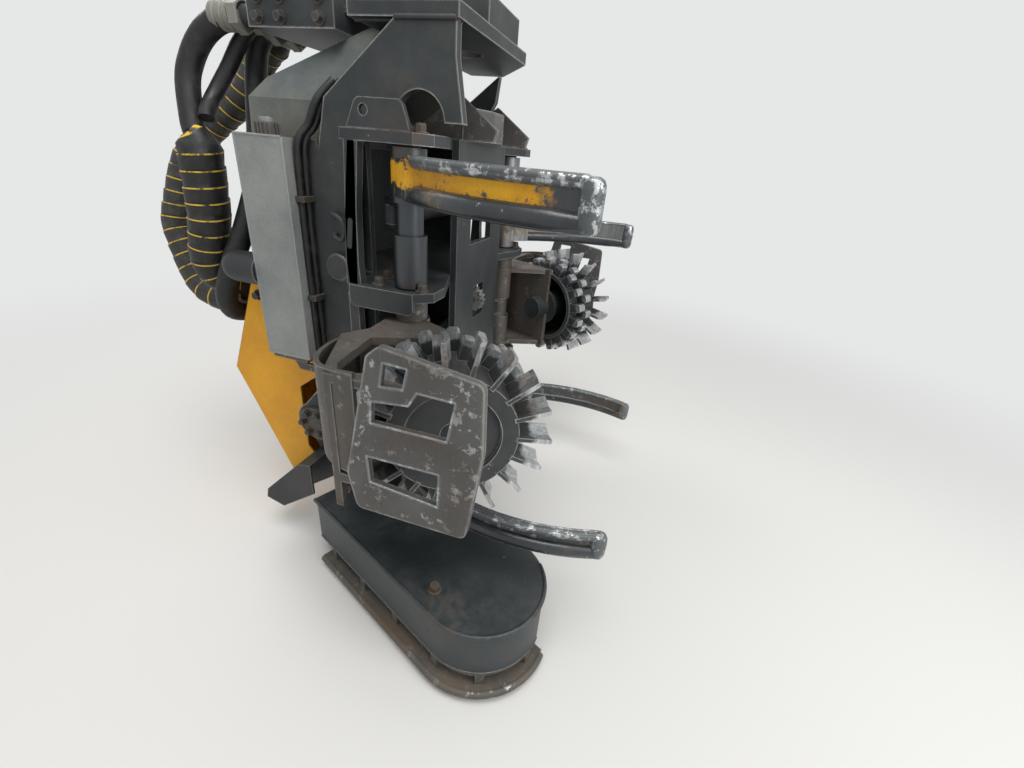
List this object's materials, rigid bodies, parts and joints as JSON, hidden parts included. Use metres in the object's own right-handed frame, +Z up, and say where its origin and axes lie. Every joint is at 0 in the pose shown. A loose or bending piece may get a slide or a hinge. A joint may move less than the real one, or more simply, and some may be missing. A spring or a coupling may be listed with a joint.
{
  "type": "forestry harvester head",
  "caption": "Tree felling and processing head that hangs upright from its tilt frame, with its knives and feed rollers open round the stem's space.",
  "frame": {"origin": "centre of the bolt circle on the top face of the tilt frame's mount block, where the rotator is bolted on", "axes": "+Z up along the hanging head and out of the mount face, +X to the open side with the knife tips, +Y to the side away from the camera"},
  "size_m": [1.6871, 1.5506, 1.643],
  "materials": {
    "frame_steel": "worn black paint over steel, dusty and greasy",
    "worn_steel": "scraped bare steel with brown rust and old paint left",
    "polished_steel": "steel polished bright by wood",
    "chrome_rod": "hard chrome",
    "yellow_paint": "chipped and scratched yellow paint",
    "grey_paint": "dusty grey paint with chips",
    "hose_rubber": "black rubber and wrap, dull"
  },
  "bodies": {
    "root": {"mount_block": "frame_steel", "fork_near": "frame_steel", "fork_far": "frame_steel", "fork_deck": "frame_steel", "fork_rear_box": "frame_steel", "hose_cover": "grey_paint", "hinge_pins": "worn_steel", "tank": "grey_paint", "tank_bracket": "worn_steel", "manifold": "frame_steel", "accumulator": "frame_steel", "hose_bundle": "hose_rubber", "hose_loop": "hose_rubber", "hose_thin": "hose_rubber", "hose_wrapped": "hose_rubber"},
    "tilt_barrel": {"tilt_barrel": "frame_steel"},
    "tilt_rod": {"tilt_rod": "chrome_rod"},
    "head": {"head_frame": "frame_steel", "near_pins": "worn_steel", "far_pins": "worn_steel", "fixed_knife": "worn_steel", "near_cover": "yellow_paint", "far_cover": "yellow_paint", "hose_entry": "frame_steel", "tilt_lug": "frame_steel", "saw_box": "frame_steel", "saw_guard": "worn_steel", "saw_motor": "frame_steel", "back_hood": "frame_steel"},
    "saw_bar": {"saw_bar": "polished_steel"},
    "upper_knife_near": {"upper_knife_near": "yellow_paint"},
    "upper_knife_far": {"upper_knife_far": "yellow_paint"},
    "lower_knife_near": {"lower_knife_near": "worn_steel"},
    "lower_knife_far": {"lower_knife_far": "worn_steel"},
    "roller_arm_near": {"roller_arm_near": "worn_steel", "guard_near": "worn_steel", "motor_near": "frame_steel"},
    "roller_arm_far": {"roller_arm_far": "worn_steel", "guard_far": "worn_steel", "motor_far": "frame_steel"},
    "feed_roller_near": {"feed_roller_near": "polished_steel"},
    "feed_roller_far": {"feed_roller_far": "polished_steel"},
    "upper_barrel": {"upper_barrel": "frame_steel"},
    "upper_rod": {"upper_rod": "chrome_rod"},
    "roller_barrel": {"roller_barrel": "frame_steel"},
    "roller_rod": {"roller_rod": "chrome_rod"},
    "lower_barrel": {"lower_barrel": "frame_steel"},
    "lower_rod": {"lower_rod": "chrome_rod"},
    "measure_arm": {"measure_arm": "frame_steel"},
    "measure_wheel": {"measure_wheel": "polished_steel"}
  },
  "joints": [
    {"name": "tilt", "type": "hinge", "parent": "root", "child": "head", "pos_m": [-0.345, 0, -1.2], "axis": [0, 1, 0], "range_deg": [0, 90], "deforming": ["hose_bundle", "hose_loop", "hose_thin", "hose_wrapped"]},
    {"name": "tilt_cylinder_swing", "type": "hinge", "parent": "root", "child": "tilt_barrel", "pos_m": [-0.4, 0, -0.56], "axis": [0, 1, 0], "range_deg": [0, 0.75]},
    {"name": "tilt_cylinder_stroke", "type": "slide", "parent": "tilt_barrel", "child": "tilt_rod", "axis": [-0.0412, 0, -0.9992], "range_m": [-0.1696, 0]},
    {"name": "upper_knife_near", "type": "hinge", "parent": "head", "child": "upper_knife_near", "pos_m": [0.035, -0.375, -0.505], "axis": [0, 0, 1], "range_deg": [0, 66]},
    {"name": "upper_knife_far", "type": "hinge", "parent": "head", "child": "upper_knife_far", "pos_m": [0.035, 0.375, -0.505], "axis": [0, 0, -1], "range_deg": [0, 66]},
    {"name": "upper_cylinder_swing", "type": "hinge", "parent": "upper_knife_near", "child": "upper_barrel", "pos_m": [-0.03545, -0.32925, -0.505], "axis": [0, 0, 1], "range_deg": [-66, 0]},
    {"name": "upper_cylinder_stroke", "type": "slide", "parent": "upper_barrel", "child": "upper_rod", "axis": [0, 1, 0], "range_m": [0, 0.1832]},
    {"name": "roller_arm_near", "type": "hinge", "parent": "head", "child": "roller_arm_near", "pos_m": [0.035, -0.375, -0.92], "axis": [0, 0, 1], "range_deg": [0, 70]},
    {"name": "roller_arm_far", "type": "hinge", "parent": "head", "child": "roller_arm_far", "pos_m": [0.035, 0.375, -0.92], "axis": [0, 0, -1], "range_deg": [0, 70]},
    {"name": "roller_cylinder_swing", "type": "hinge", "parent": "roller_arm_near", "child": "roller_barrel", "pos_m": [-0.03381, -0.32682, -0.92], "axis": [0, 0, 1], "range_deg": [-70, 0]},
    {"name": "roller_cylinder_stroke", "type": "slide", "parent": "roller_barrel", "child": "roller_rod", "axis": [0, 1, 0], "range_m": [0, 0.1929]},
    {"name": "lower_knife_near", "type": "hinge", "parent": "head", "child": "lower_knife_near", "pos_m": [0.035, -0.375, -1.171], "axis": [0, 0, 1], "range_deg": [0, 52]},
    {"name": "lower_knife_far", "type": "hinge", "parent": "head", "child": "lower_knife_far", "pos_m": [0.035, 0.375, -1.171], "axis": [0, 0, -1], "range_deg": [0, 52]},
    {"name": "lower_cylinder_swing", "type": "hinge", "parent": "lower_knife_near", "child": "lower_barrel", "pos_m": [-0.0405, -0.33818, -1.171], "axis": [0, 0, 1], "range_deg": [-52, 0]},
    {"name": "lower_cylinder_stroke", "type": "slide", "parent": "lower_barrel", "child": "lower_rod", "axis": [0, 1, 0], "range_m": [0, 0.1475]},
    {"name": "feed_roller_near", "type": "hinge", "parent": "roller_arm_near", "child": "feed_roller_near", "pos_m": [0.24, -0.555, -0.92], "axis": [0.4384, -0.8988, 0], "continuous": true},
    {"name": "feed_roller_far", "type": "hinge", "parent": "roller_arm_far", "child": "feed_roller_far", "pos_m": [0.24, 0.555, -0.92], "axis": [0.4384, 0.8988, 0], "continuous": true},
    {"name": "saw_bar", "type": "hinge", "parent": "head", "child": "saw_bar", "pos_m": [-0.2, -0.315, -1.486], "axis": [0, 0, 1], "range_deg": [0, 100]},
    {"name": "measure_arm", "type": "hinge", "parent": "head", "child": "measure_arm", "pos_m": [-0.01, 0, -0.73], "axis": [0, 1, 0], "range_deg": [0, 25]},
    {"name": "measure_wheel", "type": "hinge", "parent": "measure_arm", "child": "measure_wheel", "pos_m": [0.058, 0, -0.795], "axis": [0, 1, 0], "continuous": true}
  ],
  "couplings": [
    {"joint": "tilt_cylinder_swing", "follows": "tilt", "ratio": 0.008},
    {"joint": "tilt_cylinder_stroke", "follows": "tilt", "m_per_rad": -0.1079},
    {"joint": "upper_knife_far", "follows": "upper_knife_near", "ratio": 1},
    {"joint": "upper_cylinder_swing", "follows": "upper_knife_near", "ratio": -1},
    {"joint": "upper_cylinder_stroke", "follows": "upper_knife_near", "m_per_rad": 0.15886},
    {"joint": "roller_arm_far", "follows": "roller_arm_near", "ratio": 1},
    {"joint": "roller_cylinder_swing", "follows": "roller_arm_near", "ratio": -1},
    {"joint": "roller_cylinder_stroke", "follows": "roller_arm_near", "m_per_rad": 0.15774},
    {"joint": "lower_knife_far", "follows": "lower_knife_near", "ratio": 1},
    {"joint": "lower_cylinder_swing", "follows": "lower_knife_near", "ratio": -1},
    {"joint": "lower_cylinder_stroke", "follows": "lower_knife_near", "m_per_rad": 0.16229}
  ]
}
